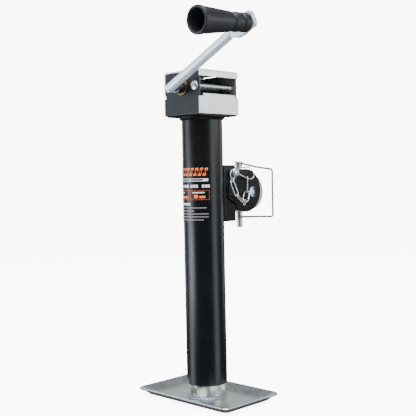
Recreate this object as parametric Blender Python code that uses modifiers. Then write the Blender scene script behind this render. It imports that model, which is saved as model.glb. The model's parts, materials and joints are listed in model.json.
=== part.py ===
"""Side-wind trailer tongue jack with a swivel pipe mount, modelled as separate pieces.

World frame: +Z up, origin at the centre of the foot's bottom face on the tube's axis. The crank is on the
-Y side and the trailer mount on the +Y side. Sizes are written in millimetres and built in metres.
"""

import math

import bmesh
import bpy
from mathutils import Matrix, Vector

MM = 0.001
GAP = 0.3

# Outer tube and drop tube
TUBE_R = 28.575
TUBE_BORE_R = 26.2
TUBE_BOTTOM = 22.0
TUBE_TOP = 396.0
DROP_R = 25.4
DROP_BORE_R = 22.9
DROP_TOP = 345.0

# Foot
FOOT_LENGTH = 178.0
FOOT_WIDTH = 111.0
FOOT_HEIGHT = 11.0
FOOT_SHEET = 3.0

# Gear case, a steel channel closed by a cover and two plates
CASE_X = 32.7
CASE_Y = 37.5
CASE_SHEET = 3.0
CASE_BOTTOM = TUBE_TOP + GAP
COVER_TOP = 459.0
COVER_SHEET = 2.2
COVER_X = 35.5
LIP_BOTTOM = 449.0
BACK_LIP_BOTTOM = 426.3
CROSS_PIN_X = 25.4
CROSS_PIN_R = 3.0

# Crank
SHAFT_Z = 436.5
SHAFT_R = 8.0
HUB_R = 9.5
BUSH_R = 10.2
ARM_Y = -55.7
ARM_R = 6.35
ARM_ANGLE = math.radians(25.2)
ARM_LEAN = math.radians(2.2)
PADDLE_TWIST = math.radians(3.9)
ROD_LENGTH = 127.0
PADDLE_SHEET = 6.0
GRIP_U = 157.5
GRIP_V = -4.0
GRIP_LENGTH = 85.0

# Bevel gears and lead screw
GEAR_R = 30.0
GEAR_TEETH = 24
PINION_TEETH = 12
FACE_SHARE = 0.7
TIP_GAP = 0.5
TOOTH_DEPTH = 2.4
SCREW_R = 10.0
SCREW_BOTTOM = 85.0
SHOULDER_Z = 409.6

# Swivel mount
SLEEVE_Y = 73.5
SLEEVE_Z = 292.0
SLEEVE_R = 31.4
SLEEVE_BORE_R = 28.4
SLEEVE_BACK = -15.0
SLEEVE_FRONT = 4.7
SWIVEL_PLATE_Y = 91.3
SWIVEL_PLATE_R = 25.5
HOLE_Y = 89.5
HOLE_Z = 289.7
HOLE_R = 8.0
PIN_X = -2.0
PIN_Y = 76.4
PIN_R = 4.75
PIN_HEAD_R = 5.6
PIN_BOTTOM = 237.5
PIN_TOP = 335.0
BAIL_HINGE_Z = 331.3
BAIL_X = 5.6
BAIL_R = 1.5
BRACKET_LOW = 249.0
BRACKET_HIGH = 329.0
BRACKET_OUT = 46.0
BRACKET_X = 18.8
BRACKET_SHEET = 3.5
GUSSET_SHEET = 3.0
RIVET = (39.6, 318.0)
CHAIN_WIRE_R = 0.95

# Label
LABEL_LOW = 250.0
LABEL_HIGH = 331.0
LABEL_HALF_ANGLE = math.radians(65.0)

BLACK_PAINT = ("black_paint", (0.012, 0.013, 0.015), 0.32, 0.0)
ZINC = ("zinc_plate", (0.66, 0.70, 0.73), 0.30, 1.0)
STEEL = ("bare_steel", (0.45, 0.46, 0.47), 0.35, 1.0)
GALVANISED = ("galvanised_foot", (0.42, 0.46, 0.48), 0.38, 1.0)
BRASS = ("sintered_bronze", (0.55, 0.38, 0.20), 0.40, 1.0)
PLASTIC = ("grip_plastic", (0.02, 0.021, 0.023), 0.45, 0.0)
LABEL = ("label_film", (0.02, 0.02, 0.02), 0.40, 0.0)


def clear_scene():
    for item in list(bpy.data.objects):
        bpy.data.objects.remove(item, do_unlink=True)


def new_collection(name):
    made = bpy.data.collections.new(name)
    bpy.context.scene.collection.children.link(made)
    return made


clear_scene()
PARTS = new_collection("trailer_tongue_jack")
CUTTERS = new_collection("cutters")


def finish_material(finish, name):
    """Each piece has a material of its own, named for the piece."""
    _, colour, roughness, metallic = finish
    made = bpy.data.materials.new(name)
    made.use_nodes = True
    shader = made.node_tree.nodes["Principled BSDF"]
    shader.inputs["Base Color"].default_value = (*colour, 1.0)
    shader.inputs["Roughness"].default_value = roughness
    shader.inputs["Metallic"].default_value = metallic
    return made


def link_piece(name, data, finish, smooth=False):
    """Adds a piece to the jack; its mesh or curve is in metres."""
    made = bpy.data.objects.new(name, data)
    PARTS.objects.link(made)
    data.materials.append(finish_material(finish, name))
    if smooth and isinstance(data, bpy.types.Mesh):
        data.shade_smooth()
        data.set_sharp_from_angle(angle=math.radians(35.0))
    return made


def turned(name, profile, finish, steps=48, closed=False):
    """A turned solid about its local Z. profile is (radius, height), down the outer side."""
    mesh = bpy.data.meshes.new(name)
    points = [(radius * MM, 0.0, height * MM) for radius, height in profile]
    edges = [(i, i + 1) for i in range(len(points) - 1)]
    if closed:
        edges.append((len(points) - 1, 0))
    mesh.from_pydata(points, edges, [])
    made = link_piece(name, mesh, finish)
    screw = made.modifiers.new("turn", "SCREW")
    screw.steps = steps
    screw.render_steps = steps
    screw.use_merge_vertices = True
    screw.merge_threshold = 0.00001
    screw.use_smooth_shade = True
    return made


def ring(name, outer, inner, low, high, finish, steps=48):
    profile = [(outer, high), (outer, low), (inner, low), (inner, high)]
    return turned(name, profile, finish, steps, closed=True)


def plate(name, outlines, thickness, finish):
    """A flat plate in its local XY plane from an outer outline and any holes, centred on its thickness."""
    curve = bpy.data.curves.new(name, "CURVE")
    curve.dimensions = "2D"
    curve.fill_mode = "BOTH"
    curve.extrude = thickness * MM / 2.0
    for outline in outlines:
        spline = curve.splines.new("POLY")
        spline.points.add(len(outline) - 1)
        for point, (x, y) in zip(spline.points, outline):
            point.co = (x * MM, y * MM, 0.0, 1.0)
        spline.use_cyclic_u = True
    return link_piece(name, curve, finish)


def circle(x, y, radius, count=24):
    turn = 2.0 * math.pi / count
    return [(x + radius * math.cos(i * turn), y + radius * math.sin(i * turn)) for i in range(count)]


def arc(x, y, radius, start, end, count):
    """Points on an arc, in degrees."""
    step = (end - start) / (count - 1)
    angles = [math.radians(start + i * step) for i in range(count)]
    return [(x + radius * math.cos(a), y + radius * math.sin(a)) for a in angles]


def wire(name, points, radius, finish, resolution=2, cyclic=False):
    """A round wire along a list of points in millimetres."""
    curve = bpy.data.curves.new(name, "CURVE")
    curve.dimensions = "3D"
    curve.bevel_depth = radius * MM
    curve.bevel_resolution = resolution
    curve.use_fill_caps = not cyclic
    spline = curve.splines.new("POLY")
    spline.points.add(len(points) - 1)
    for point, place in zip(spline.points, points):
        point.co = (*(Vector(place) * MM), 1.0)
    spline.use_cyclic_u = cyclic
    return link_piece(name, curve, finish)


def curve_to_mesh(piece, finish):
    """Turns a curve piece into a welded mesh piece, so that it can be cut or joined."""
    graph = bpy.context.evaluated_depsgraph_get()
    mesh = bpy.data.meshes.new_from_object(piece.evaluated_get(graph))
    work = bmesh.new()
    work.from_mesh(mesh)
    bmesh.ops.remove_doubles(work, verts=work.verts, dist=0.000001)
    work.to_mesh(mesh)
    work.free()
    name = piece.name
    matrix = piece.matrix_world.copy()
    bpy.data.objects.remove(piece, do_unlink=True)
    mesh.materials.clear()
    made = link_piece(name, mesh, finish)
    made.name = name
    made.matrix_world = matrix
    return made


def loft(name, loops, finish, closed=False):
    """A solid through loops with equal point counts, capped unless the loops close on themselves."""
    work = bmesh.new()
    rows = [[work.verts.new(Vector(point) * MM) for point in loop] for loop in loops]
    count = len(rows[0])
    pairs = list(zip(rows, rows[1:]))
    if closed:
        pairs.append((rows[-1], rows[0]))
    for low, high in pairs:
        for i in range(count):
            j = (i + 1) % count
            work.faces.new((low[i], low[j], high[j], high[i]))
    if not closed:
        work.faces.new(list(reversed(rows[0])))
        work.faces.new(rows[-1])
    bmesh.ops.recalc_face_normals(work, faces=work.faces)
    mesh = bpy.data.meshes.new(name)
    work.to_mesh(mesh)
    work.free()
    return link_piece(name, mesh, finish)


def cutter(name, radius, length, matrix, count=32):
    """A hidden round cutter about the local Z of matrix."""
    mesh = bpy.data.meshes.new(name)
    work = bmesh.new()
    bmesh.ops.create_cone(
        work,
        cap_ends=True,
        segments=count,
        radius1=radius * MM,
        radius2=radius * MM,
        depth=length * MM,
    )
    work.to_mesh(mesh)
    work.free()
    made = bpy.data.objects.new(name, mesh)
    CUTTERS.objects.link(made)
    made.matrix_world = matrix
    made.hide_render = True
    made.display_type = "WIRE"
    return made


def cut(piece, tool):
    change = piece.modifiers.new("cut", "BOOLEAN")
    change.operation = "DIFFERENCE"
    change.solver = "EXACT"
    change.object = tool


def axes_matrix(origin, x_axis, y_axis, z_axis):
    """A placement whose local axes point along the given world directions."""
    matrix = Matrix((x_axis, y_axis, z_axis)).transposed().to_4x4()
    matrix.translation = Vector(origin) * MM
    return matrix


def along_y(x, z):
    """Local Z points to world -Y, with the origin on the XZ place given."""
    return axes_matrix((x, 0.0, z), (1, 0, 0), (0, 0, 1), (0, -1, 0))


def along_x(x, y, z):
    """Local X, Y and Z point along world Y, Z and X."""
    return axes_matrix((x, y, z), (0, 1, 0), (0, 0, 1), (1, 0, 0))


# ---------------------------------------------------------------- tubes and foot


def make_tubes():
    edge = 0.8
    outer = [
        (TUBE_R, TUBE_TOP),
        (TUBE_R, TUBE_BOTTOM + edge),
        (TUBE_R - edge, TUBE_BOTTOM),
        (TUBE_BORE_R, TUBE_BOTTOM),
        (TUBE_BORE_R, TUBE_TOP),
    ]
    turned("outer_tube", outer, BLACK_PAINT, 48, closed=True)
    ring("drop_tube", DROP_R, DROP_BORE_R, FOOT_SHEET + GAP, DROP_TOP, ZINC, 48)
    ring("screw_nut", DROP_BORE_R - GAP, SCREW_R + GAP, DROP_TOP - 25.0, DROP_TOP, BRASS, 32)
    bead = [(3.6, 0.0), (2.6, 2.0), (0.6, 3.0), (0.0, 3.4), (0.0, 0.0)]
    base = FOOT_SHEET + GAP
    low_bead = [(DROP_R + GAP + out, base + up) for out, up in reversed(bead)]
    turned("foot_weld", low_bead[1:] + low_bead[:1], ZINC, 40, closed=True)
    high_bead = [(TUBE_R + GAP + out, TUBE_TOP - up) for out, up in bead]
    turned("head_weld", high_bead, BLACK_PAINT, 40, closed=True)


def rounded_rectangle(length, width, radius, height, per_corner=5):
    """A level loop of points round a rectangle with rounded corners."""
    x = length / 2.0 - radius
    y = width / 2.0 - radius
    points = []
    for k, (sx, sy) in enumerate(((1, 1), (-1, 1), (-1, -1), (1, -1))):
        for px, py in arc(sx * x, sy * y, radius, 90.0 * k, 90.0 * k + 90.0, per_corner):
            points.append((px, py, height))
    return points


def make_foot():
    """A pressed dish: flat floor, flared sides and a rolled rim."""
    t = FOOT_SHEET
    length, width, top = FOOT_LENGTH, FOOT_WIDTH, FOOT_HEIGHT
    loops = [
        rounded_rectangle(length - 30.0, width - 30.0, 6.0, t),
        rounded_rectangle(length - 26.0, width - 26.0, 7.0, t + 0.6),
        rounded_rectangle(length - 12.0, width - 12.0, 7.0, top - 1.0),
        rounded_rectangle(length - 8.0, width - 8.0, 8.0, top),
        rounded_rectangle(length - 2.0, width - 2.0, 9.0, top - 0.3),
        rounded_rectangle(length, width, 9.0, top - 1.6),
        rounded_rectangle(length - 1.0, width - 1.0, 9.0, top - 3.2),
        rounded_rectangle(length - 9.0, width - 9.0, 8.0, top - 3.8),
        rounded_rectangle(length - 22.0, width - 22.0, 7.0, 0.8),
        rounded_rectangle(length - 26.0, width - 26.0, 7.0, 0.0),
    ]
    loft("foot_plate", loops, GALVANISED)


# ---------------------------------------------------------------- gear case


def make_gear_case():
    """A channel: two side plates that carry the crank shaft, joined by a floor on the tube's top."""
    y, t, low, high = CASE_Y, CASE_SHEET, CASE_BOTTOM, COVER_TOP - COVER_SHEET - 1.3
    bend = 4.0
    outline = arc(-y + bend, low + bend, bend, 180, 270, 5)
    outline += arc(y - bend, low + bend, bend, 270, 360, 5)
    outline += [(y, high), (y - t, high)]
    outline += [(y - t, low + t), (-y + t, low + t), (-y + t, high), (-y, high)]
    case = plate("gear_case", [outline], 2.0 * CASE_X, BLACK_PAINT)
    case.matrix_world = along_x(0.0, 0.0, 0.0)
    bpy.context.view_layer.update()
    case = curve_to_mesh(case, BLACK_PAINT)
    length = 4.0 * CASE_Y
    cut(case, cutter("shaft_hole", BUSH_R + GAP, length, along_y(0.0, SHAFT_Z)))
    for name, side in (("front", 1), ("rear", -1)):
        place = along_y(side * CROSS_PIN_X, SHAFT_Z)
        cut(case, cutter("cross_hole_" + name, CROSS_PIN_R + GAP, length, place, 16))
    floor_hole = Matrix.Translation((0.0, 0.0, CASE_BOTTOM * MM))
    cut(case, cutter("screw_hole", SCREW_R + 1.0, 12.0, floor_hole))


def make_cover():
    """The bright cover folds over the case's top, deeper at the back; a plate closes each side below it."""
    x, t, bend = COVER_X, COVER_SHEET, 4.0
    top = COVER_TOP
    outline = [(x, LIP_BOTTOM)] + arc(x - bend, top - bend, bend, 0, 90, 5)
    outline += arc(-x + bend, top - bend, bend, 90, 180, 5) + [(-x, BACK_LIP_BOTTOM), (-x + t, BACK_LIP_BOTTOM)]
    outline += arc(-x + bend, top - bend, bend - t, 180, 90, 5)
    outline += arc(x - bend, top - bend, bend - t, 90, 0, 5) + [(x - t, LIP_BOTTOM)]
    cover = plate("case_cover", [outline], 2.0 * CASE_Y, ZINC)
    cover.matrix_world = axes_matrix((0, 0, 0), (1, 0, 0), (0, 0, 1), (0, -1, 0))
    side_outline = [(-38.4, 398.4), (38.4, 398.4), (38.4, 422.0), (31.4, 422.0)]
    side_outline += [(31.4, 426.0), (-31.4, 426.0), (-31.4, 422.0), (-38.4, 422.0)]
    for name, side in (("front_plate", 1), ("rear_plate", -1)):
        made = plate(name, [side_outline], COVER_SHEET, ZINC)
        made.matrix_world = along_x(side * (COVER_X - COVER_SHEET / 2.0), 0.0, 0.0)


def make_cross_pins():
    """A riveted pin through both side plates, near each end of the case."""
    face = CASE_Y + GAP
    half = [(0.0, face + 3.2), (3.4, face + 2.9), (5.6, face + 1.9), (6.4, face + 0.6), (6.4, face)]
    half.append((CROSS_PIN_R, face))
    profile = half + [(radius, -height) for radius, height in reversed(half)]
    for name, side in (("cross_pin_front", 1), ("cross_pin_rear", -1)):
        made = turned(name, profile, ZINC, 20)
        made.matrix_world = along_y(side * CROSS_PIN_X, SHAFT_Z)


def make_bushes():
    """A flanged bush in each side plate; heights run out from the case's middle."""
    face = CASE_Y + GAP
    inside = CASE_Y - CASE_SHEET - 1.0
    profile = [
        (SHAFT_R + 0.1, face + 1.5),
        (11.6, face + 1.5),
        (11.6, face),
        (BUSH_R, face),
        (BUSH_R, inside),
        (SHAFT_R + 0.1, inside),
    ]
    near = turned("shaft_bush_near", profile, BRASS, 32, closed=True)
    near.matrix_world = along_y(0.0, SHAFT_Z)
    far = turned("shaft_bush_far", profile, BRASS, 32, closed=True)
    far.matrix_world = axes_matrix((0, 0, SHAFT_Z), (1, 0, 0), (0, 0, -1), (0, 1, 0))


# ---------------------------------------------------------------- crank


def crank_axes():
    """Directions along the arm, across it, and out along the grip, with the arm's start point."""
    straight = Vector((math.cos(ARM_ANGLE), 0.0, math.sin(ARM_ANGLE)))
    out = Vector((0.0, -1.0, 0.0))
    along = math.cos(ARM_LEAN) * straight + math.sin(ARM_LEAN) * out
    normal = math.cos(ARM_LEAN) * out - math.sin(ARM_LEAN) * straight
    across = Vector((-math.sin(ARM_ANGLE), 0.0, math.cos(ARM_ANGLE)))
    turn = math.cos(PADDLE_TWIST), math.sin(PADDLE_TWIST)
    twisted = turn[0] * across + turn[1] * normal
    grip_axis = turn[0] * normal - turn[1] * across
    return along, twisted, grip_axis, Vector((0.0, ARM_Y, SHAFT_Z))


def make_shaft():
    """The crank shaft crosses the whole case; its thick outer end carries the arm."""
    arm_side = -(ARM_Y + ARM_R + GAP)
    shoulder = CASE_Y + GAP + 1.5 + GAP
    profile = [
        (0.0, arm_side),
        (HUB_R - 0.8, arm_side),
        (HUB_R, arm_side - 0.8),
        (HUB_R, shoulder),
        (SHAFT_R, shoulder),
        (SHAFT_R, -shoulder - 3.0),
        (SHAFT_R - 1.0, -shoulder - 4.0),
        (0.0, -shoulder - 4.0),
    ]
    shaft = turned("crank_shaft", profile, STEEL, 32)
    shaft.matrix_world = along_y(0.0, SHAFT_Z)
    clip_low = CASE_Y + 2.0 * GAP + 1.5
    clip = ring("shaft_clip", 11.0, SHAFT_R + GAP, clip_low, clip_low + 1.2, STEEL, 24)
    clip.matrix_world = axes_matrix((0, 0, SHAFT_Z), (1, 0, 0), (0, 0, -1), (0, 1, 0))


def make_arm():
    """A round bar whose far end is pressed into a flat paddle for the grip."""
    along, across, normal, start = crank_axes()
    chamfer = 0.8
    profile = [
        (0.0, ROD_LENGTH),
        (ARM_R - chamfer, ROD_LENGTH),
        (ARM_R, ROD_LENGTH - chamfer),
        (ARM_R, -6.5),
        (ARM_R - chamfer, -6.5 - chamfer),
        (0.0, -6.5 - chamfer),
    ]
    rod = turned("crank_arm", profile, ZINC, 32)
    rod.matrix_world = axes_matrix(start, across, normal, along)
    half = PADDLE_SHEET / 2.0
    middle = GRIP_V + 1.0
    width = 10.8
    tip = 169.8
    corner = 5.0
    start_u = ROD_LENGTH + GAP
    outline = [(start_u, -6.2), (start_u + 8.0, middle - width + 2.2)]
    outline += [(start_u + 18.0, middle - width)]
    outline += arc(tip - corner, middle - width + corner, corner, 270, 360, 5)
    outline += arc(tip - corner, middle + width - corner, corner, 0, 90, 5)
    outline += [(start_u + 18.0, middle + width), (start_u + 8.0, 6.4), (start_u, 6.2)]
    hole = list(reversed(circle(GRIP_U, GRIP_V, 4.3)))
    paddle = plate("arm_paddle", [outline, hole], PADDLE_SHEET, ZINC)
    paddle.matrix_world = axes_matrix(start, along, across, along.cross(across))
    return half


def make_grip(half):
    """A hollow plastic handle that turns freely on its bolt."""
    along, across, normal, start = crank_axes()
    origin = start + along * GRIP_U + across * GRIP_V
    place = axes_matrix(origin, along, normal.cross(along), normal)
    low = half + GAP
    top = low + GRIP_LENGTH
    profile = [
        (17.0, top - 1.0),
        (17.2, top - 5.0),
        (12.3, low + 31.4),
        (10.2, low + 28.9),
        (11.4, low + 26.2),
        (12.4, low + 20.0),
        (11.8, low + 14.0),
        (10.4, low + 11.5),
        (11.9, low + 9.5),
        (11.9, low + 1.0),
        (11.0, low),
        (4.6, low),
        (4.6, low + 26.0),
        (9.0, low + 27.0),
        (13.2, top - 2.2),
        (14.0, top),
        (16.0, top),
    ]
    grip = turned("crank_grip", profile, PLASTIC, 32, closed=True)
    grip.matrix_world = place
    back = -half - GAP
    bolt_profile = [
        (0.0, low + 31.0),
        (6.6, low + 31.0),
        (6.6, low + 27.4),
        (4.0, low + 27.4),
        (4.0, back),
        (7.5, back),
        (7.5, back - 2.4),
        (5.5, back - 3.4),
        (0.0, back - 3.4),
    ]
    bolt = turned("grip_bolt", bolt_profile, ZINC, 24)
    bolt.matrix_world = place


# ---------------------------------------------------------------- gears and screw


def toothed_loop(teeth, tip_r, tip_z, root_r, root_z):
    """A loop with four points a tooth: two on the tip and two in the gap."""
    points = []
    pitch = 2.0 * math.pi / teeth
    stations = ((-0.20, tip_r, tip_z), (0.20, tip_r, tip_z), (0.32, root_r, root_z), (0.68, root_r, root_z))
    for tooth in range(teeth):
        for share, radius, height in stations:
            angle = (tooth + share) * pitch
            points.append((radius * math.cos(angle), radius * math.sin(angle), height))
    return points


def round_loop(teeth, radius, height):
    return toothed_loop(teeth, radius, height, radius, height)


def make_bevel_gear():
    """The large bevel gear on top of the screw, facing up towards the shaft."""
    slope = PINION_TEETH / GEAR_TEETH
    face = SHAFT_Z - TIP_GAP
    outer, inner = GEAR_R, GEAR_R * FACE_SHARE
    outer_z, inner_z = face - outer * slope, face - inner * slope
    bore = 7.3
    top = inner_z - 0.6
    loops = [
        round_loop(GEAR_TEETH, 15.0, SHOULDER_Z + GAP),
        round_loop(GEAR_TEETH, 15.0, 413.0),
        round_loop(GEAR_TEETH, outer - 3.0, 415.0),
        toothed_loop(GEAR_TEETH, outer - 1.0, outer_z - 3.0, outer - 3.0, outer_z - 3.4),
        toothed_loop(GEAR_TEETH, outer, outer_z, outer - 1.0, outer_z - TOOTH_DEPTH),
        toothed_loop(GEAR_TEETH, inner, inner_z, inner - 0.6, inner_z - TOOTH_DEPTH * 0.7),
        round_loop(GEAR_TEETH, inner - 2.0, top - TOOTH_DEPTH * 0.7),
        round_loop(GEAR_TEETH, bore + 3.0, top - TOOTH_DEPTH * 0.7),
        round_loop(GEAR_TEETH, bore, top - TOOTH_DEPTH * 0.7),
        round_loop(GEAR_TEETH, bore, SHOULDER_Z + GAP),
    ]
    loft("bevel_gear", loops, STEEL, closed=True)


def make_pinion():
    """The small bevel gear on the crank shaft."""
    ratio = PINION_TEETH / GEAR_TEETH
    outer, inner = GEAR_R * ratio, GEAR_R * ratio * FACE_SHARE
    bore = SHAFT_R + GAP
    loops = [
        round_loop(PINION_TEETH, bore, GEAR_R * FACE_SHARE),
        toothed_loop(
            PINION_TEETH,
            inner - TIP_GAP,
            GEAR_R * FACE_SHARE,
            inner - TIP_GAP - 1.0,
            GEAR_R * FACE_SHARE,
        ),
        toothed_loop(PINION_TEETH, outer - TIP_GAP, GEAR_R, outer - TIP_GAP - TOOTH_DEPTH, GEAR_R),
        round_loop(PINION_TEETH, outer - TIP_GAP - TOOTH_DEPTH, GEAR_R + 0.5),
        round_loop(PINION_TEETH, outer - TIP_GAP - TOOTH_DEPTH, GEAR_R + 3.0),
        round_loop(PINION_TEETH, bore, GEAR_R + 3.0),
    ]
    made = loft("drive_pinion", loops, STEEL, closed=True)
    made.matrix_world = along_y(0.0, SHAFT_Z)


def make_screw():
    """The lead screw hangs from the thrust bearing and runs in the nut of the drop tube."""
    profile = [
        (0.0, 424.5),
        (6.2, 424.5),
        (7.0, 423.7),
        (7.0, SHOULDER_Z),
        (SCREW_R, SHOULDER_Z),
        (SCREW_R, SCREW_BOTTOM + 2.0),
        (SCREW_R - 2.0, SCREW_BOTTOM),
        (0.0, SCREW_BOTTOM),
    ]
    turned("lead_screw", profile, STEEL, 32)
    floor = CASE_BOTTOM + CASE_SHEET + GAP
    ring("thrust_race_lower", 19.0, SCREW_R + 0.6, floor, floor + 3.0, STEEL, 32)
    middle = floor + 3.0 + 0.2 + 2.1
    cage = [(14.8 + px, middle + py) for px, py in reversed(circle(0.0, 0.0, 2.1, 8))]
    turned("thrust_ball_ring", cage, STEEL, 28, closed=True)
    upper = middle + 2.1 + 0.2
    ring("thrust_race_upper", 19.0, SCREW_R + 0.6, upper, SHOULDER_Z, STEEL, 32)


# ---------------------------------------------------------------- swivel mount


def make_sleeve():
    """The short tube that turns on the trailer's pipe, with a cross hole for the lock pin."""
    sleeve = ring("mount_sleeve", SLEEVE_R, SLEEVE_BORE_R, SLEEVE_BACK, SLEEVE_FRONT, ZINC, 56)
    sleeve.matrix_world = along_x(0.0, SLEEVE_Y, SLEEVE_Z)
    upright = Matrix.Translation(Vector((PIN_X, PIN_Y, SLEEVE_Z)) * MM)
    cut(sleeve, cutter("pin_hole", PIN_R + 0.4, 3.0 * SLEEVE_R, upright, 24))


def make_end_plates():
    """A black end disc and a smaller bright plate behind it, set off-centre, with one hole through both."""
    hole = list(reversed(circle(HOLE_Y, HOLE_Z, HOLE_R, 28)))
    disc = plate("mount_disc", [circle(SLEEVE_Y, SLEEVE_Z, SLEEVE_R, 56), hole], 5.0, BLACK_PAINT)
    disc.matrix_world = along_x(12.5, 0.0, 0.0)
    round_plate = circle(SWIVEL_PLATE_Y, HOLE_Z, SWIVEL_PLATE_R, 56)
    bright = plate("swivel_plate", [round_plate, hole], 4.7, ZINC)
    bright.matrix_world = along_x(7.35, 0.0, 0.0)


def make_bracket():
    """A channel welded to the tube; its two legs hold the sleeve between them."""
    x, t = BRACKET_X, BRACKET_SHEET
    web_low, web_high = TUBE_R + 2.0, TUBE_R + 5.5
    outline = [(-x, 15.0), (-x + t, 15.0), (-x + t, web_low), (x - t, web_low), (x - t, 15.0), (x, 15.0)]
    outline += [(x, BRACKET_OUT), (x - t, BRACKET_OUT), (x - t, web_high)]
    outline += [(-x + t, web_high), (-x + t, BRACKET_OUT), (-x, BRACKET_OUT)]
    made = plate("mount_bracket", [outline], BRACKET_HIGH - BRACKET_LOW, BLACK_PAINT)
    made.matrix_world = Matrix.Translation((0.0, 0.0, (BRACKET_HIGH + BRACKET_LOW) / 2.0 * MM))
    bpy.context.view_layer.update()
    made = curve_to_mesh(made, BLACK_PAINT)
    middle = Matrix.Translation((0.0, 0.0, (BRACKET_HIGH + BRACKET_LOW) / 2.0 * MM))
    cut(made, cutter("tube_seat", TUBE_R + GAP, 120.0, middle, 64))
    rivet_hole = along_x(x, RIVET[0], RIVET[1])
    cut(made, cutter("rivet_hole", 3.0 + GAP, 10.0, rivet_hole, 16))


def make_gussets():
    """A tapered stiffening plate on the outside of each bracket leg."""
    start, end, half, tall = 29.6, 46.8, 9.0, 19.0
    outline = [(start, half), (start, -half), (end, -tall), (end, tall)]
    for name, side in (("front_gusset", 1), ("rear_gusset", -1)):
        made = plate(name, [outline], GUSSET_SHEET, BLACK_PAINT)
        made.matrix_world = along_x(side * (BRACKET_X + GAP + GUSSET_SHEET / 2.0), 0.0, SLEEVE_Z - 1.0)


def make_lock_pin():
    """A straight pin through the sleeve; a cross hole in its head carries the wire bail."""
    profile = [
        (0.0, PIN_TOP),
        (PIN_HEAD_R - 1.2, PIN_TOP),
        (PIN_HEAD_R, PIN_TOP - 1.2),
        (PIN_HEAD_R, PIN_TOP - 6.4),
        (PIN_R, PIN_TOP - 6.8),
        (PIN_R, PIN_BOTTOM + 2.0),
        (PIN_R - 1.8, PIN_BOTTOM),
        (0.0, PIN_BOTTOM),
    ]
    pin = turned("lock_pin", profile, ZINC, 32)
    pin.matrix_world = Matrix.Translation((PIN_X * MM, PIN_Y * MM, 0.0))
    hole = along_x(PIN_X, PIN_Y, BAIL_HINGE_Z)
    cut(pin, cutter("bail_hole", BAIL_R + 0.25, 30.0, hole, 16))


def make_bail():
    """A square wire bail, hinged in the pin's head; its free end lies beside the pin's tip."""
    right, top_right, low_right = 143.9, 322.8, 250.4
    corner = 3.6
    y, z = PIN_Y, BAIL_HINGE_Z
    points = [(PIN_X - 4.8, y, z), (PIN_X, y, z), (BAIL_X - 1.4, y, z), (BAIL_X - 0.4, y + 0.5, z)]
    points += [(BAIL_X, y + 1.8, z - 0.1), (BAIL_X, y + 8.0, z - 1.5), (BAIL_X, y + 20.0, z - 3.2)]
    points += [(BAIL_X, y + 29.0, z - 4.9)]
    points += [(BAIL_X, py, pz) for py, pz in arc(right - corner, top_right - corner, corner, 90, 0, 4)]
    points += [(BAIL_X, py, pz) for py, pz in arc(right - corner, low_right + corner, corner, 0, -90, 4)]
    points += [(BAIL_X, y + 4.0, 253.0), (BAIL_X, y - 5.0, 253.4)]
    points += [(BAIL_X - 1.0, y - 7.2, 253.4), (BAIL_X - 3.0, y - 8.0, 253.4)]
    wire("pin_bail", points, BAIL_R, ZINC, 2)


# ---------------------------------------------------------------- chain


def make_rivet():
    """A round-headed rivet that holds the chain's first link against the bracket."""
    base = BRACKET_X
    profile = [
        (0.0, base + 10.6),
        (3.0, base + 10.2),
        (5.2, base + 9.1),
        (6.4, base + 7.4),
        (6.4, base + 6.4),
        (3.0, base + 6.4),
        (3.0, base - 5.0),
        (0.0, base - 5.0),
    ]
    rivet = turned("chain_rivet", profile, ZINC, 24)
    rivet.matrix_world = along_x(0.0, RIVET[0], RIVET[1])


def link_points(start, end, normal, half_width, count=6):
    """The oval centre line of a chain link between the outer points of its two ends."""
    start, end, normal = Vector(start), Vector(end), Vector(normal)
    along = (end - start).normalized()
    side = normal.cross(along).normalized()
    points = []
    for centre, first in ((end - along * half_width, 90.0), (start + along * half_width, 270.0)):
        for i in range(count):
            angle = math.radians(first - i * 180.0 / (count - 1))
            points.append(centre + (along * math.cos(angle) + side * math.sin(angle)) * half_width)
    return points


def make_chain():
    """Oval links hang in a loop between the rivet and the pin's ring; each pair meets at one place."""
    meets = [
        (20.54, 41.10, 321.12),
        (22.54, 35.79, 309.78),
        (23.98, 33.75, 305.18),
        (26.50, 40.86, 285.40),
        (25.06, 56.19, 274.80),
        (24.47, 60.61, 275.76),
        (21.09, 68.52, 290.05),
        (20.26, 70.51, 310.74),
    ]
    shapes = [
        ((-0.99, -0.06, -0.14), 4.81),
        ((-0.01, -0.92, 0.40), 2.60),
        ((-0.98, -0.12, -0.17), 4.44),
        ((-0.10, -0.57, -0.81), 2.54),
        ((-0.95, -0.18, 0.26), 4.55),
        ((-0.31, 0.80, -0.52), 4.24),
        ((0.71, 0.71, -0.04), 3.80),
    ]
    reach = 1.35
    for i, (normal, half_width) in enumerate(shapes):
        start, end = Vector(meets[i]), Vector(meets[i + 1])
        along = (end - start).normalized()
        points = link_points(start - along * reach, end + along * reach, normal, half_width)
        wire("chain_link_" + str(i + 1), points, CHAIN_WIRE_R, ZINC, cyclic=True)


def smooth_loop(points, per_span=4):
    """A closed smooth curve through the points."""
    count = len(points)
    made = []
    for i in range(count):
        p0, p1, p2, p3 = (Vector(points[(i + k - 1) % count]) for k in range(4))
        for step in range(per_span):
            t = step / per_span
            made.append(
                0.5
                * (
                    2.0 * p1
                    + (p2 - p0) * t
                    + (2.0 * p0 - 5.0 * p1 + 4.0 * p2 - p3) * t * t
                    + (3.0 * p1 - p0 - 3.0 * p2 + p3) * t * t * t
                )
            )
    return made


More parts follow.
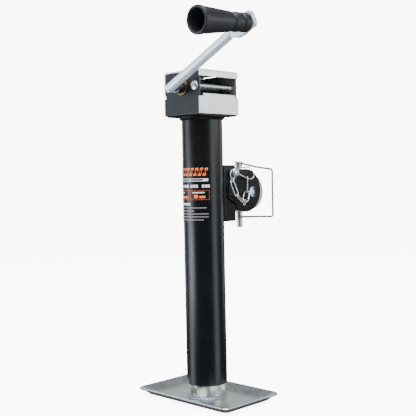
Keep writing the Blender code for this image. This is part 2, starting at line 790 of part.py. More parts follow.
def make_pin_ring():
    """A bent ring round the pin under its head, hanging over the front of the end disc."""
    points = [
        (-9.2, PIN_Y, 325.8),
        (-6.0, PIN_Y - 6.2, 325.8),
        (2.0, 65.5, 325.3),
        (9.0, 57.5, 322.6),
        (17.5, 52.5, 317.5),
        (20.0, 60.0, 313.3),
        (20.3, 70.5, 309.4),
        (20.5, 79.5, 308.6),
        (20.8, 84.5, 313.0),
        (19.5, 84.0, 319.0),
        (14.0, 83.8, 324.9),
        (6.0, PIN_Y + 7.2, 325.6),
        (-6.0, PIN_Y + 6.2, 325.8),
    ]
    wire("pin_ring", smooth_loop(points), CHAIN_WIRE_R, ZINC, cyclic=True)


# ---------------------------------------------------------------- label


def make_label():
    """A thin printed film wrapped on the crank side of the tube."""
    inner, outer = TUBE_R + 0.15, TUBE_R + 0.45
    count = 24
    angles = [-math.pi / 2.0 + LABEL_HALF_ANGLE * (2.0 * i / count - 1.0) for i in range(count + 1)]
    loops = []
    for angle in angles:
        c, s = math.cos(angle), math.sin(angle)
        corners = ((outer, LABEL_LOW), (outer, LABEL_HIGH), (inner, LABEL_HIGH), (inner, LABEL_LOW))
        loops.append([(radius * c, radius * s, height) for radius, height in corners])
    loft("tube_label", loops, LABEL)


make_tubes()
make_foot()
make_gear_case()
make_cover()
make_cross_pins()
make_bushes()
make_shaft()
paddle_half = make_arm()
make_grip(paddle_half)
make_bevel_gear()
make_pinion()
make_screw()
make_sleeve()
make_end_plates()
make_bracket()
make_gussets()
make_lock_pin()
make_bail()
make_rivet()
make_chain()
make_pin_ring()
make_label()
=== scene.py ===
"""Looks for the trailer tongue jack: finishes, label, weld beads, grip, light and camera."""

import json
import math

import bmesh
import bpy
from mathutils import Matrix, Vector, noise


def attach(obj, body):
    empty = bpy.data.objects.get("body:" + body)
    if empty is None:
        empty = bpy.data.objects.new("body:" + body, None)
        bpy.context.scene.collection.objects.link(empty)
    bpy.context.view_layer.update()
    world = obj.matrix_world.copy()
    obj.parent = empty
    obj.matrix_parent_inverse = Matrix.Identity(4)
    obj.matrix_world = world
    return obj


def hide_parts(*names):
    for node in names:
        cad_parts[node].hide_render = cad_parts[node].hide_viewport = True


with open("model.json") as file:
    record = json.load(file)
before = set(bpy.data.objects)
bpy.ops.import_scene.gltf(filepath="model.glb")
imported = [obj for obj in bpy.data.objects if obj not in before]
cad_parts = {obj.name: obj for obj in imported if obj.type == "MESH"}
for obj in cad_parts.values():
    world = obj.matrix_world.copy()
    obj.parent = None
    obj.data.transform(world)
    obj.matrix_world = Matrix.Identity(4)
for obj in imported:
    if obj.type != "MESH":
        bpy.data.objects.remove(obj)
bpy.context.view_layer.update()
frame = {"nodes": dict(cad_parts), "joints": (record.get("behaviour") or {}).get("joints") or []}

MM = 0.001

# Camera: its place in metres, the directions of its right, up and forward axes, its lens in millimetres
CAMERA_PLACE = (0.81285, -0.81200, 0.31249)
CAMERA_RIGHT = (0.7109, 0.7030, -0.0204)
CAMERA_UP = (-0.0121, 0.0413, 0.9991)
CAMERA_FORWARD = (-0.70324, 0.70995, -0.03781)
CAMERA_LENS = 70.6
SENSOR_WIDTH = 36.0

# Studio: brightness of the floor and of the backdrop to the camera, in reflections and as even fill
FLOOR_HALF = 6.0
FLOOR_GLOW = 7.5
BACKDROP_WHITE = 9.0
BACKDROP_IN_GLOSS = 0.07
BACKDROP_FILL = 1.8
COOL = (0.80, 0.90, 1.0)
NEUTRAL = (1.0, 1.0, 1.0)

# Shading: angles in degrees and the weld distance in metres
SMOOTH_BELOW = 32.0
BEVEL_ABOVE = 40.0
SHARP_ABOVE = 35.0
WELD_DISTANCE = 0.000002

# The inside of the gear case, where a lighter grey is painted in place of light, in metres: within this of
# the middle across y, and above this height
CASE_INSIDE = (0.0352, 0.0358)
CASE_FLOOR = (0.3982, 0.3986)


# ---------------------------------------------------------------- material tools


class Shader:
    """A node material with one Principled shader."""

    def __init__(self, name, colour, roughness, metallic=0.0, specular=0.5):
        self.material = bpy.data.materials.new(name)
        self.material.use_nodes = True
        self.tree = self.material.node_tree
        self.main = self.tree.nodes["Principled BSDF"]
        self.main.inputs["Base Color"].default_value = (*colour, 1.0)
        self.main.inputs["Roughness"].default_value = roughness
        self.main.inputs["Metallic"].default_value = metallic
        self.main.inputs["Specular IOR Level"].default_value = specular
        self.coords = self.tree.nodes.new("ShaderNodeTexCoord").outputs["Object"]
        self.height = None

    def add(self, kind, **values):
        made = self.tree.nodes.new(kind)
        for key, value in values.items():
            setattr(made, key, value)
        return made

    def link(self, output, target):
        self.tree.links.new(output, target)

    def stretched(self, stretch):
        """Object coordinates scaled along each axis."""
        made = self.add("ShaderNodeMapping")
        made.inputs["Scale"].default_value = stretch
        self.link(self.coords, made.inputs["Vector"])
        return made.outputs["Vector"]

    def noise(self, scale, detail=2.0, stretch=None, rough=0.5):
        made = self.add("ShaderNodeTexNoise")
        made.inputs["Scale"].default_value = scale
        made.inputs["Detail"].default_value = detail
        made.inputs["Roughness"].default_value = rough
        self.link(self.stretched(stretch) if stretch else self.coords, made.inputs["Vector"])
        return made.outputs["Fac"]

    def cells(self, scale):
        """A random grey for each cell of a crystal-like pattern."""
        made = self.add("ShaderNodeTexVoronoi")
        made.inputs["Scale"].default_value = scale
        self.link(self.coords, made.inputs["Vector"])
        grey = self.add("ShaderNodeRGBToBW")
        self.link(made.outputs["Color"], grey.inputs["Color"])
        return grey.outputs["Val"]

    def ramp(self, value, low, high, start, end):
        """Maps value between low and high to a number from start to end."""
        made = self.add("ShaderNodeMapRange")
        made.inputs["From Min"].default_value = low
        made.inputs["From Max"].default_value = high
        made.inputs["To Min"].default_value = start
        made.inputs["To Max"].default_value = end
        self.link(value, made.inputs["Value"])
        return made.outputs["Result"]

    def blend_colour(self, value, first, second, low=0.3, high=0.7):
        """A colour that runs from first to second as value runs from low to high."""
        made = self.add("ShaderNodeValToRGB")
        made.color_ramp.elements[0].position = low
        made.color_ramp.elements[0].color = (*first, 1.0)
        made.color_ramp.elements[1].position = high
        made.color_ramp.elements[1].color = (*second, 1.0)
        self.link(value, made.inputs["Fac"])
        return made.outputs["Color"]

    def colour(self, value, first, second, low=0.3, high=0.7):
        """Blends the surface colour by value."""
        self.link(self.blend_colour(value, first, second, low, high), self.main.inputs["Base Color"])

    def gloss(self, value, start, end):
        """Varies the roughness from start to end by value."""
        self.link(self.ramp(value, 0.3, 0.7, start, end), self.main.inputs["Roughness"])

    def bump(self, value, depth, strength):
        """Adds relief of a depth in millimetres on top of any relief already there."""
        made = self.add("ShaderNodeBump")
        made.inputs["Strength"].default_value = strength
        made.inputs["Distance"].default_value = depth * MM
        self.link(value, made.inputs["Height"])
        if self.height is not None:
            self.link(self.height, made.inputs["Normal"])
        self.height = made.outputs["Normal"]
        self.link(self.height, self.main.inputs["Normal"])


def black_paint(name="gloss_black_paint", base=0.003, gloss=0.27, shine=0.5):
    """Black powder coat: a fine orange peel and slightly uneven colour and gloss."""
    made = Shader(name, (base, base, base), gloss, 0.0, shine)
    cloud = made.noise(35.0, 3.0)
    made.colour(cloud, (base * 0.8, base * 0.88, base * 1.05), (base * 1.2, base * 1.3, base * 1.5))
    made.gloss(made.noise(90.0, 3.0), gloss, gloss + 0.06)
    made.bump(made.noise(420.0, 1.0), 0.006, 0.5)
    return made.material


def zinc(name, light, dark, rough, metal=0.8, grain=(1.0, 1.0, 1.0)):
    """Zinc plate over a rolled or drawn surface; the grain runs along the axis with the small scale."""
    made = Shader(name, light, rough, metal)
    made.colour(made.noise(28.0, 4.0), dark, light, 0.25, 0.65)
    lines = made.noise(900.0, 3.0, grain, 0.6)
    made.gloss(lines, rough - 0.05, rough + 0.14)
    made.bump(lines, 0.01, 0.4)
    made.bump(made.noise(120.0, 2.0), 0.03, 0.3)
    return made.material


def spangled(name):
    """Zinc-plated pressed sheet: faint crystal patches and soft scuffs."""
    made = Shader(name, (0.56, 0.61, 0.62), 0.28, 0.96)
    made.colour(made.cells(190.0), (0.52, 0.57, 0.58), (0.64, 0.69, 0.70), 0.2, 0.8)
    scuffs = made.noise(110.0, 3.0, (0.3, 1.0, 1.0), 0.6)
    made.gloss(scuffs, 0.30, 0.36)
    made.bump(made.noise(18.0, 1.0), 0.05, 0.15)
    return made.material


def bare_metal(name, tint, rough):
    """Uncoated metal with darker patches and a fine grain."""
    made = Shader(name, tint, rough, 1.0)
    dark = tuple(part * 0.72 for part in tint)
    made.colour(made.noise(120.0, 4.0), dark, tint)
    made.gloss(made.noise(600.0, 3.0), rough - 0.06, rough + 0.12)
    made.bump(made.noise(900.0, 2.0), 0.02, 0.5)
    return made.material


def moulded_plastic(name):
    """Black plastic with the fine spark texture of its mould."""
    made = Shader(name, (0.010, 0.011, 0.013), 0.42, 0.0, 0.45)
    made.colour(made.noise(60.0, 2.0), (0.008, 0.009, 0.011), (0.012, 0.013, 0.016))
    made.gloss(made.noise(300.0, 3.0), 0.38, 0.50)
    made.bump(made.noise(1500.0, 3.0), 0.05, 0.6)
    return made.material


def print_ink(name, colour):
    """Printed ink: slightly uneven cover over the film."""
    made = Shader(name, colour, 0.38)
    thin = tuple(part * 0.85 for part in colour)
    made.colour(made.noise(700.0, 3.0), thin, colour)
    made.gloss(made.noise(90.0, 2.0), 0.32, 0.42)
    made.bump(made.noise(1200.0, 1.0), 0.01, 0.4)
    return made.material


def case_coat_and_painted_light(name):
    """The gear case: black powder coat outside, and painted light on the faces inside the channel: a
    lighter grey that stands in for light reaching in there.
    """
    made = Shader(name, (0.004, 0.004, 0.005), 0.32, 0.0, 0.34)
    # A mask of the faces inside the channel, where the painted light goes.
    split = made.add("ShaderNodeSeparateXYZ")
    made.link(made.coords, split.inputs["Vector"])
    across = made.add("ShaderNodeMath", operation="ABSOLUTE")
    made.link(split.outputs["Y"], across.inputs[0])
    between = made.ramp(across.outputs["Value"], *CASE_INSIDE, 1.0, 0.0)
    above = made.ramp(split.outputs["Z"], *CASE_FLOOR, 0.0, 1.0)
    inside_light_mask = made.add("ShaderNodeMath", operation="MULTIPLY")
    made.link(between, inside_light_mask.inputs[0])
    made.link(above, inside_light_mask.inputs[1])
    # Painted light: a lighter grey inside the channel, standing in for light that reaches in there.
    metal = made.blend_colour(made.noise(60.0, 3.0), (0.060, 0.062, 0.056), (0.100, 0.104, 0.094))
    coat = made.blend_colour(made.noise(35.0, 3.0), (0.003, 0.0033, 0.004), (0.0048, 0.0052, 0.006))
    mixed = made.add("ShaderNodeMix", data_type="RGBA")
    made.link(inside_light_mask.outputs["Value"], mixed.inputs["Factor"])
    colour_a, colour_b = mixed.inputs[6], mixed.inputs[7]
    made.link(coat, colour_a)
    made.link(metal, colour_b)
    made.link(mixed.outputs[2], made.main.inputs["Base Color"])
    made.gloss(made.noise(90.0, 3.0), 0.32, 0.40)
    made.bump(made.noise(420.0, 1.0), 0.006, 0.5)
    return made.material


PAINT = black_paint()
HEAD_PAINT = case_coat_and_painted_light("gear_case_paint_and_painted_light")
ARM_ZINC = zinc("arm_zinc", (0.86, 0.93, 0.98), (0.74, 0.83, 0.90), 0.40, 0.72)
PLATE_ZINC = zinc("cover_zinc", (0.84, 0.86, 0.86), (0.66, 0.70, 0.71), 0.30, 0.95, (1.0, 1.0, 0.05))
TUBE_ZINC = zinc("drop_tube_zinc", (0.60, 0.62, 0.54), (0.46, 0.48, 0.40), 0.15, 1.0, (1.0, 1.0, 0.05))
LID_ZINC = zinc("lid_zinc", (0.84, 0.86, 0.86), (0.66, 0.70, 0.71), 0.34, 0.55, (1.0, 0.05, 1.0))
SMALL_ZINC = zinc("small_part_zinc", (0.84, 0.88, 0.89), (0.70, 0.76, 0.78), 0.22, 0.9)
MOUNT_ZINC = zinc("mount_zinc", (0.70, 0.78, 0.84), (0.56, 0.65, 0.72), 0.34)
WIRE_ZINC = zinc("wire_zinc", (0.30, 0.36, 0.40), (0.18, 0.23, 0.27), 0.30)
FOOT_METAL = spangled("foot_zinc")
STEEL = bare_metal("oiled_steel", (0.42, 0.43, 0.44), 0.36)
SHAFT_STEEL = bare_metal("shaft_steel", (0.30, 0.32, 0.33), 0.32)
BRONZE = bare_metal("sintered_bronze_metal", (0.36, 0.25, 0.13), 0.45)
PLASTIC = moulded_plastic("grip_black_plastic")
FILM = black_paint("label_film_black", 0.003, 0.26)
ORANGE = print_ink("print_orange", (0.95, 0.15, 0.010))
RUST = print_ink("print_rust", (0.34, 0.060, 0.014))
PALE = print_ink("print_pale", (0.62, 0.62, 0.64))
GREY = print_ink("print_grey", (0.17, 0.17, 0.175))


# ---------------------------------------------------------------- CAD nodes that stay


def smooth_group():
    """Geometry nodes that weld the imported triangles and shade them smooth at shallow edges."""
    group = bpy.data.node_groups.new("weld_and_smooth", "GeometryNodeTree")
    group.interface.new_socket("Geometry", in_out="INPUT", socket_type="NodeSocketGeometry")
    group.interface.new_socket("Geometry", in_out="OUTPUT", socket_type="NodeSocketGeometry")
    start = group.nodes.new("NodeGroupInput")
    end = group.nodes.new("NodeGroupOutput")
    weld = group.nodes.new("GeometryNodeMergeByDistance")
    weld.inputs["Distance"].default_value = WELD_DISTANCE
    faces = group.nodes.new("GeometryNodeSetShadeSmooth")
    faces.domain = "FACE"
    edges = group.nodes.new("GeometryNodeSetShadeSmooth")
    edges.domain = "EDGE"
    edges.inputs["Shade Smooth"].default_value = False
    angle = group.nodes.new("GeometryNodeInputMeshEdgeAngle")
    sharp = group.nodes.new("FunctionNodeCompare")
    sharp.data_type = "FLOAT"
    sharp.operation = "GREATER_THAN"
    sharp.inputs["B"].default_value = math.radians(SMOOTH_BELOW)
    group.links.new(start.outputs["Geometry"], weld.inputs["Geometry"])
    group.links.new(weld.outputs["Geometry"], faces.inputs["Geometry"])
    group.links.new(faces.outputs["Geometry"], edges.inputs["Geometry"])
    group.links.new(angle.outputs["Unsigned Angle"], sharp.inputs["A"])
    group.links.new(sharp.outputs["Result"], edges.inputs["Selection"])
    group.links.new(edges.outputs["Geometry"], end.inputs["Geometry"])
    return group


SMOOTH = smooth_group()


def keep_node(name, material, bevel=0.0, rounds=0):
    """Keeps a CAD node with a finish and smooth shading; bevel softens its edges, rounds smooth a wire."""
    node = frame["nodes"][name]
    node.data.materials.clear()
    node.data.materials.append(material)
    smooth = node.modifiers.new("smooth", "NODES")
    smooth.node_group = SMOOTH
    if bevel:
        edge = node.modifiers.new("edges", "BEVEL")
        edge.width = bevel * MM
        edge.segments = 2
        edge.limit_method = "ANGLE"
        edge.angle_limit = math.radians(BEVEL_ABOVE)
    if rounds:
        finer = node.modifiers.new("round", "SUBSURF")
        finer.levels = rounds
        finer.render_levels = rounds
    else:
        flat = node.modifiers.new("normals", "WEIGHTED_NORMAL")
        flat.keep_sharp = True


# Each kept node's finish, and the width in millimetres of its softened edges
KEPT = {
    "outer_tube": (PAINT, 0.0),
    "gear_case": (HEAD_PAINT, 0.5),
    "case_cover": (LID_ZINC, 0.3),
    "front_plate": (PLATE_ZINC, 0.4),
    "rear_plate": (PLATE_ZINC, 0.4),
    "cross_pin_front": (SMALL_ZINC, 0.0),
    "cross_pin_rear": (SMALL_ZINC, 0.0),
    "shaft_bush_near": (BRONZE, 0.3),
    "shaft_bush_far": (BRONZE, 0.3),
    "thrust_race_lower": (STEEL, 0.2),
    "thrust_ball_ring": (STEEL, 0.0),
    "thrust_race_upper": (STEEL, 0.2),
    "mount_bracket": (PAINT, 0.5),
    "front_gusset": (PAINT, 0.6),
    "rear_gusset": (PAINT, 0.6),
    "mount_sleeve": (MOUNT_ZINC, 0.4),
    "swivel_plate": (MOUNT_ZINC, 0.5),
    "mount_disc": (PAINT, 0.6),
    "chain_rivet": (SMALL_ZINC, 0.0),
    "crank_shaft": (SHAFT_STEEL, 0.3),
    "shaft_clip": (STEEL, 0.2),
    "drive_pinion": (STEEL, 0.2),
    "crank_arm": (ARM_ZINC, 0.0),
    "arm_paddle": (ARM_ZINC, 0.8),
    "grip_bolt": (SMALL_ZINC, 0.0),
    "lead_screw": (STEEL, 0.0),
    "bevel_gear": (STEEL, 0.0),
    "drop_tube": (TUBE_ZINC, 0.0),
    "screw_nut": (BRONZE, 0.0),
    "foot_plate": (FOOT_METAL, 0.0),
    "lock_pin": (SMALL_ZINC, 0.0),
    "tube_label": (FILM, 0.0),
}
for kept_name, (kept_material, kept_bevel) in KEPT.items():
    keep_node(kept_name, kept_material, kept_bevel)
for wire_name in ["pin_ring"] + ["chain_link_" + str(i + 1) for i in range(7)]:
    keep_node(wire_name, SMALL_ZINC, rounds=2)
keep_node("pin_bail", WIRE_ZINC)


# ---------------------------------------------------------------- mesh tools


def finish_mesh(name, work, material, body):
    """Turns the built mesh into a smooth-shaded piece that rides on a body."""
    mesh = bpy.data.meshes.new(name)
    bmesh.ops.recalc_face_normals(work, faces=work.faces)
    work.to_mesh(mesh)
    work.free()
    made = bpy.data.objects.new(name, mesh)
    bpy.context.scene.collection.objects.link(made)
    mesh.materials.append(material)
    mesh.shade_smooth()
    mesh.set_sharp_from_angle(angle=math.radians(SHARP_ABOVE))
    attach(made, body)
    return made


def grid_faces(work, rows, close_rows, close_columns):
    """Quads between rows of vertices."""
    count = len(rows)
    width = len(rows[0])
    for i in range(count if close_rows else count - 1):
        for j in range(width if close_columns else width - 1):
            a, b = rows[i], rows[(i + 1) % count]
            k = (j + 1) % width
            work.faces.new((a[j], a[k], b[k], b[j]))


def cap_ends(work, rows):
    """Closes the first and last rows of a run of faces."""
    work.faces.new(list(reversed(rows[0])))
    work.faces.new(rows[-1])


def on_tube(work, radius, angle, height):
    """A vertex at a radius and height in millimetres and an angle in radians round the tube's axis."""
    return work.verts.new(Vector((radius * math.cos(angle), radius * math.sin(angle), height)) * MM)


def turned_piece(name, profile, place, steps, material, body, shape=None):
    """A turned solid from a closed (radius, height) loop in millimetres; shape may move each point."""
    work = bmesh.new()
    rows = []
    for step in range(steps):
        angle = 2.0 * math.pi * step / steps
        row = []
        for radius, height in profile:
            if shape:
                radius, height = shape(radius, height, angle)
            point = Vector((radius * math.cos(angle), radius * math.sin(angle), height)) * MM
            row.append(work.verts.new(place @ point))
        rows.append(row)
    grid_faces(work, rows, True, True)
    return finish_mesh(name, work, material, body)


# ---------------------------------------------------------------- printed label

# Radii of the print's inner and outer faces, in millimetres, just outside the film
PRINT_IN = 29.035
PRINT_OUT = 29.075
PATCH_STEP = 4.0

# The slanted stripes: low and high edges in millimetres and how many, then their first angle, lean, width
# and pitch in degrees
STRIPES_LOW, STRIPES_HIGH, STRIPES = 314.6, 325.4, 8
STRIPE_FIRST, STRIPE_LEAN, STRIPE_WIDTH, STRIPE_PITCH = -139.0, 8.0, 8.6, 13.2


def curved_patch(work, first, last, low, high, lean=0.0, steps=None):
    """A thin closed patch on the film, between two angles in degrees and two heights in millimetres."""
    steps = steps or max(2, int(abs(last - first) / PATCH_STEP))
    rows = []
    for i in range(steps + 1):
        angle = first + (last - first) * i / steps
        near, far = math.radians(angle), math.radians(angle + lean)
        outside = (on_tube(work, PRINT_OUT, near, low), on_tube(work, PRINT_OUT, far, high))
        inside = (on_tube(work, PRINT_IN, far, high), on_tube(work, PRINT_IN, near, low))
        rows.append([*outside, *inside])
    grid_faces(work, rows, False, True)
    cap_ends(work, rows)


def bars(name, patches, material):
    """Printed bars on the film: (first angle, last angle, low, high) for each."""
    work = bmesh.new()
    for patch in patches:
        curved_patch(work, *patch)
    finish_mesh(name, work, material, "root")


def frame_bars(first, last, low, high, side_degrees, edge):
    """The four bars of a printed frame."""
    return [
        (first, last, high - edge, high),
        (first, last, low, low + edge),
        (first, first + side_degrees, low + edge, high - edge),
        (last - side_degrees, last, low + edge, high - edge),
    ]


def row_of_blocks(starts, width):
    """Equal printed blocks in one row of the label."""
    return [(first, first + width, 298.2, 302.2) for first in starts]


def slanted_bars(name):
    """A row of slanted stripes."""
    work = bmesh.new()
    for i in range(STRIPES):
        first = STRIPE_FIRST + STRIPE_PITCH * i
        curved_patch(work, first, first + STRIPE_WIDTH, STRIPES_LOW, STRIPES_HIGH, STRIPE_LEAN, 4)
    finish_mesh(name, work, ORANGE, "root")


slanted_bars("label_stripes")
bars(
    "label_orange",
    [(-71.5, -60.0, 283.8, 288.4), (-56.5, -39.5, 283.8, 286.8), (-120.0, -92.0, 283.8, 286.4)],
    ORANGE,
)
bars(
    "label_boxes",
    frame_bars(-84.0, -28.0, 281.4, 294.6, 1.1, 0.55)
    + frame_bars(-150.0, -88.5, 281.4, 294.6, 1.1, 0.55),
    RUST,
)
bars(
    "label_pale",
    frame_bars(-150.0, -31.0, 306.9, 310.8, 1.4, 0.8)
    + [(-46.0, -31.0, 307.6, 310.0), (-86.0, -82.0, 307.6, 310.0)]
    + row_of_blocks((-147.0, -136.0, -125.0, -108.0, -97.0), 8.5)
    + row_of_blocks((-82.0, -74.0, -66.0, -48.5, -40.5, -33.0), 6.4)
    + [(-76.0, -42.0, 290.6, 292.2), (-138.0, -108.0, 290.6, 292.2), (-150.0, -84.5, 274.0, 277.0)],
    PALE,
)
bars(
    "label_grey",
    [
        (-150.0, -36.5, 269.7, 271.0),
        (-150.0, -72.0, 265.5, 266.8),
        (-150.0, -31.5, 261.4, 262.7),
        (-150.0, -32.0, 257.3, 258.6),
        (-150.0, -45.0, 253.1, 254.4),
    ],
    GREY,
)


# ---------------------------------------------------------------- weld beads


# Ring beads: steps round the tube, depth of the ripple and drift of the edge in millimetres
RING_STEPS = 288
RIPPLE_DEPTH = 0.5
DRIFT = 0.12

# Straight beads: step and pitch of the ripple in millimetres, sides of the section and its flattening
BEAD_STEP = 0.5
BEAD_PITCH = 2.2
BEAD_SIDES = 10
BEAD_SQUASH = 0.75


def ripple(lobes, seed):
    """A weld bead's stacked scales: the bead swells and sinks along its length."""

    def shape(radius, height, angle):
        wave = 0.5 + 0.5 * math.cos(angle * lobes)
        drift = noise.noise(Vector((math.cos(angle) * 3.0, math.sin(angle) * 3.0, seed)))
        return radius - RIPPLE_DEPTH * (1.0 - wave) * 0.5 + DRIFT * drift - DRIFT, height

    return shape


def weld_ring(name, inner, foot, out, tall, up, lobes, material, node, body):
    """A fillet bead round a tube; up is 1 where it rises from a plate and -1 where it hangs from one."""
    loop = [(inner, foot), (inner, foot + up * tall)]
    for i in range(1, 7):
        turn = math.radians(90.0 - 15.0 * i)
        bulge = 1.0 - 0.16 * math.sin(math.radians(30.0 * i))
        loop.append((inner + out * math.cos(turn) * bulge, foot + up * tall * math.sin(turn) * bulge))
    shape = ripple(lobes, foot)
    piece = turned_piece(name, loop, Matrix.Identity(4), RING_STEPS, material, body, shape)
    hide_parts(node)


weld_ring("head_weld_bead", 28.9, 396.0, 4.0, 4.2, -1, 44, PAINT, "head_weld", "root")
weld_ring("foot_weld_bead", 25.75, 3.3, 2.6, 2.8, 1, 40, WIRE_ZINC, "foot_weld", "ram")


def bead_line(name, start, end, radius):
    """A straight painted bead in a corner of the bracket, with rippled scales and rounded ends."""
    start, end = Vector(start), Vector(end)
    along = (end - start).normalized()
    side = along.orthogonal().normalized()
    other = along.cross(side)
    length = (end - start).length
    rings = int(length / BEAD_STEP)
    work = bmesh.new()
    rows = []
    for i in range(rings + 1):
        t = i / rings
        taper = math.sqrt(max(0.0, 1.0 - abs(2.0 * t - 1.0) ** 10))
        scale = 0.86 + 0.14 * math.cos(t * length * 2.0 * math.pi / BEAD_PITCH)
        size = radius * scale * max(taper, 0.12)
        centre = start + along * (t * length)
        row = []
        for k in range(BEAD_SIDES):
            angle = 2.0 * math.pi * k / BEAD_SIDES
            reach = side * math.cos(angle) + other * math.sin(angle) * BEAD_SQUASH
            row.append(work.verts.new((centre + reach * size) * MM))
        rows.append(row)
    grid_faces(work, rows, False, True)
    cap_ends(work, rows)
    finish_mesh(name, work, PAINT, "root")


for side_name, side in (("front", 1), ("rear", -1)):
    x = side * 19.3
    bead_line("tube_bead_" + side_name, (x, 22.3, 252.0), (x, 22.3, 326.0), 1.7)
    x = side * 19.2
    bead_line("gusset_bead_" + side_name, (x, 29.3, 283.5), (x, 29.3, 298.5), 1.3)


# ---------------------------------------------------------------- crank grip


def grip_place():
    """The grip's placement: origin and outward axis from the joint it turns on."""
    joint = [j for j in frame["joints"] if j["name"] == "grip_spin"][0]
    out = Vector(joint["axis"]).normalized()
    side = Vector((0.0, 0.0, 1.0)).cross(out).normalized()
    matrix = Matrix((side, out.cross(side), out)).transposed().to_4x4()
    matrix.translation = Vector(joint["pos_m"])
    return matrix


def rounded_loop(points, steps=4):
    """Softens each corner of a closed profile; each point is (radius, height, rounding)."""
    made = []
    count = len(points)
    for i in range(count):
        before, here, after = points[i - 1], points[i], points[(i + 1) % count]
        p, q, r = Vector(before[:2]), Vector(here[:2]), Vector(after[:2])
        back = (p - q).normalized() * min(here[2], (p - q).length * 0.45)
        ahead = (r - q).normalized() * min(here[2], (r - q).length * 0.45)
        for k in range(steps + 1):
            t = k / steps
            point = (q + back) * (1 - t) ** 2 + q * 2 * t * (1 - t) + (q + ahead) * t * t
            made.append((point.x, point.y))
    return made


# The grip's two ends along its own axis, in millimetres
GRIP_LOW = 3.3
GRIP_TOP = GRIP_LOW + 85.0
grip_profile = rounded_loop(
    [
        (17.15, GRIP_TOP - 1.2, 1.0),
        (17.15, GRIP_TOP - 5.2, 0.6),
        (16.45, GRIP_TOP - 6.4, 0.6),
        (12.4, GRIP_LOW + 31.6, 1.2),
        (9.9, GRIP_LOW + 28.9, 0.9),
        (11.3, GRIP_LOW + 26.4, 1.4),
        (12.35, GRIP_LOW + 20.0, 6.0),
        (11.5, GRIP_LOW + 13.4, 1.6),
        (10.3, GRIP_LOW + 11.3, 0.8),
        (11.9, GRIP_LOW + 9.8, 0.8),
        (11.9, GRIP_LOW + 0.9, 0.8),
        (10.9, GRIP_LOW + 0.05, 0.5),
        (4.6, GRIP_LOW + 0.05, 0.3),
        (4.6, GRIP_LOW + 26.0, 0.5),
        (9.0, GRIP_LOW + 27.0, 1.2),
        (13.2, GRIP_TOP - 2.4, 1.0),
        (14.0, GRIP_TOP - 0.05, 0.5),
        (16.0, GRIP_TOP - 0.05, 0.8),
    ]
)
grip = turned_piece("grip_moulding", grip_profile, grip_place(), 96, PLASTIC, "grip")
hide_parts("crank_grip")


# ---------------------------------------------------------------- stage, light and camera


def make_floor():
    """A plain white floor that isn't seen in reflections."""
    work = bmesh.new()
    corners = ((-1, -1), (1, -1), (1, 1), (-1, 1))
    work.faces.new([work.verts.new((x * FLOOR_HALF, y * FLOOR_HALF, 0.0)) for x, y in corners])
    mesh = bpy.data.meshes.new("studio_floor")
    work.to_mesh(mesh)
    work.free()
    made = bpy.data.objects.new("studio_floor", mesh)
    bpy.context.scene.collection.objects.link(made)
    shader = Shader("floor_white", (0.9, 0.9, 0.9), 0.9, 0.0, 0.1)
    shader.colour(shader.noise(3.0, 2.0), (0.89, 0.89, 0.89), (0.91, 0.91, 0.91))
    shader.main.inputs["Emission Color"].default_value = (1.0, 1.0, 1.0, 1.0)
    shader.main.inputs["Emission Strength"].default_value = FLOOR_GLOW
    mesh.materials.append(shader.material)
    made.visible_glossy = False
    made.visible_diffuse = False


def soft_light(name, place, aim, width, height, power, colour=NEUTRAL):
    """A rectangular soft light: places and sizes in metres, power in watts."""
    data = bpy.data.lights.new(name, "AREA")
    data.shape = "RECTANGLE"
    data.size = width
    data.size_y = height
    data.energy = power
    data.color = colour
    made = bpy.data.objects.new(name, data)
    bpy.context.scene.collection.objects.link(made)
    made.location = place
    made.visible_camera = False
    made.rotation_mode = "QUATERNION"
    made.rotation_quaternion = (Vector(aim) - Vector(place)).to_track_quat("-Z", "Y")


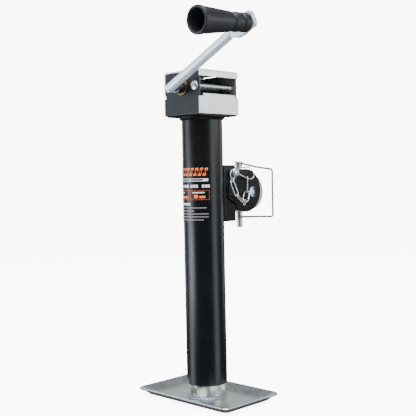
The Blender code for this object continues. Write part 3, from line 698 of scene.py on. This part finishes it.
def make_world():
    """White behind the object, dim in reflections and soft for the even fill."""
    world = bpy.data.worlds.new("studio_world")
    bpy.context.scene.world = world
    world.use_nodes = True
    tree = world.node_tree
    background = tree.nodes["Background"]
    background.inputs["Color"].default_value = (0.97, 0.985, 1.0, 1.0)
    path = tree.nodes.new("ShaderNodeLightPath")
    first = tree.nodes.new("ShaderNodeMix")
    first.inputs["A"].default_value = BACKDROP_FILL
    first.inputs["B"].default_value = BACKDROP_IN_GLOSS
    tree.links.new(path.outputs["Is Glossy Ray"], first.inputs["Factor"])
    second = tree.nodes.new("ShaderNodeMix")
    second.inputs["B"].default_value = BACKDROP_WHITE
    tree.links.new(first.outputs["Result"], second.inputs["A"])
    tree.links.new(path.outputs["Is Camera Ray"], second.inputs["Factor"])
    tree.links.new(second.outputs["Result"], background.inputs["Strength"])


def around(degrees, distance, height):
    """A place at an angle from the camera's side of the object; positive is to the camera's right."""
    angle = math.radians(degrees)
    toward = Vector((0.7071, -0.7071, 0.0))
    right = Vector((0.7071, 0.7071, 0.0))
    place = (toward * math.cos(angle) + right * math.sin(angle)) * distance
    return (place.x, place.y, height)


make_world()
make_floor()
soft_light("left_box", around(-90.0, 1.25, 0.35), (0.0, 0.0, 0.30), 0.70, 1.7, 10.0, COOL)
soft_light("right_box", around(62.0, 1.25, 0.35), (0.0, 0.0, 0.30), 0.62, 1.7, 8.0, COOL)
soft_light("plate_box", around(90.0, 1.25, 0.62), (0.0, 0.0, 0.43), 0.60, 0.42, 2.2)
soft_light("top_box", (0.15, -0.15, 1.9), (0.0, 0.0, 0.3), 1.8, 1.8, 42.0)
soft_light("front_top", around(-12.0, 0.95, 1.45), (0.0, 0.0, 0.40), 1.3, 0.8, 16.0, COOL)
soft_light("low_left", around(-74.0, 0.62, 0.16), (0.05, -0.08, 0.46), 0.34, 0.24, 1.6, COOL)
soft_light("back_card", around(180.0, 2.0, 0.75), (0.0, 0.0, 0.2), 2.4, 0.9, 5.0)
soft_light("back_left", around(-142.0, 1.5, 0.5), (0.0, 0.0, 0.3), 0.5, 1.3, 2.5)
soft_light("back_right", around(128.0, 1.5, 0.5), (0.0, 0.0, 0.3), 0.5, 1.3, 2.5)

camera_data = bpy.data.cameras.new("camera")
camera_data.lens = CAMERA_LENS
camera_data.sensor_width = SENSOR_WIDTH
camera = bpy.data.objects.new("camera", camera_data)
bpy.context.scene.collection.objects.link(camera)
back = -Vector(CAMERA_FORWARD)
turn = Matrix((Vector(CAMERA_RIGHT), Vector(CAMERA_UP), back)).transposed()
camera.matrix_world = Matrix.Translation(CAMERA_PLACE) @ turn.to_4x4()
bpy.context.scene.camera = camera
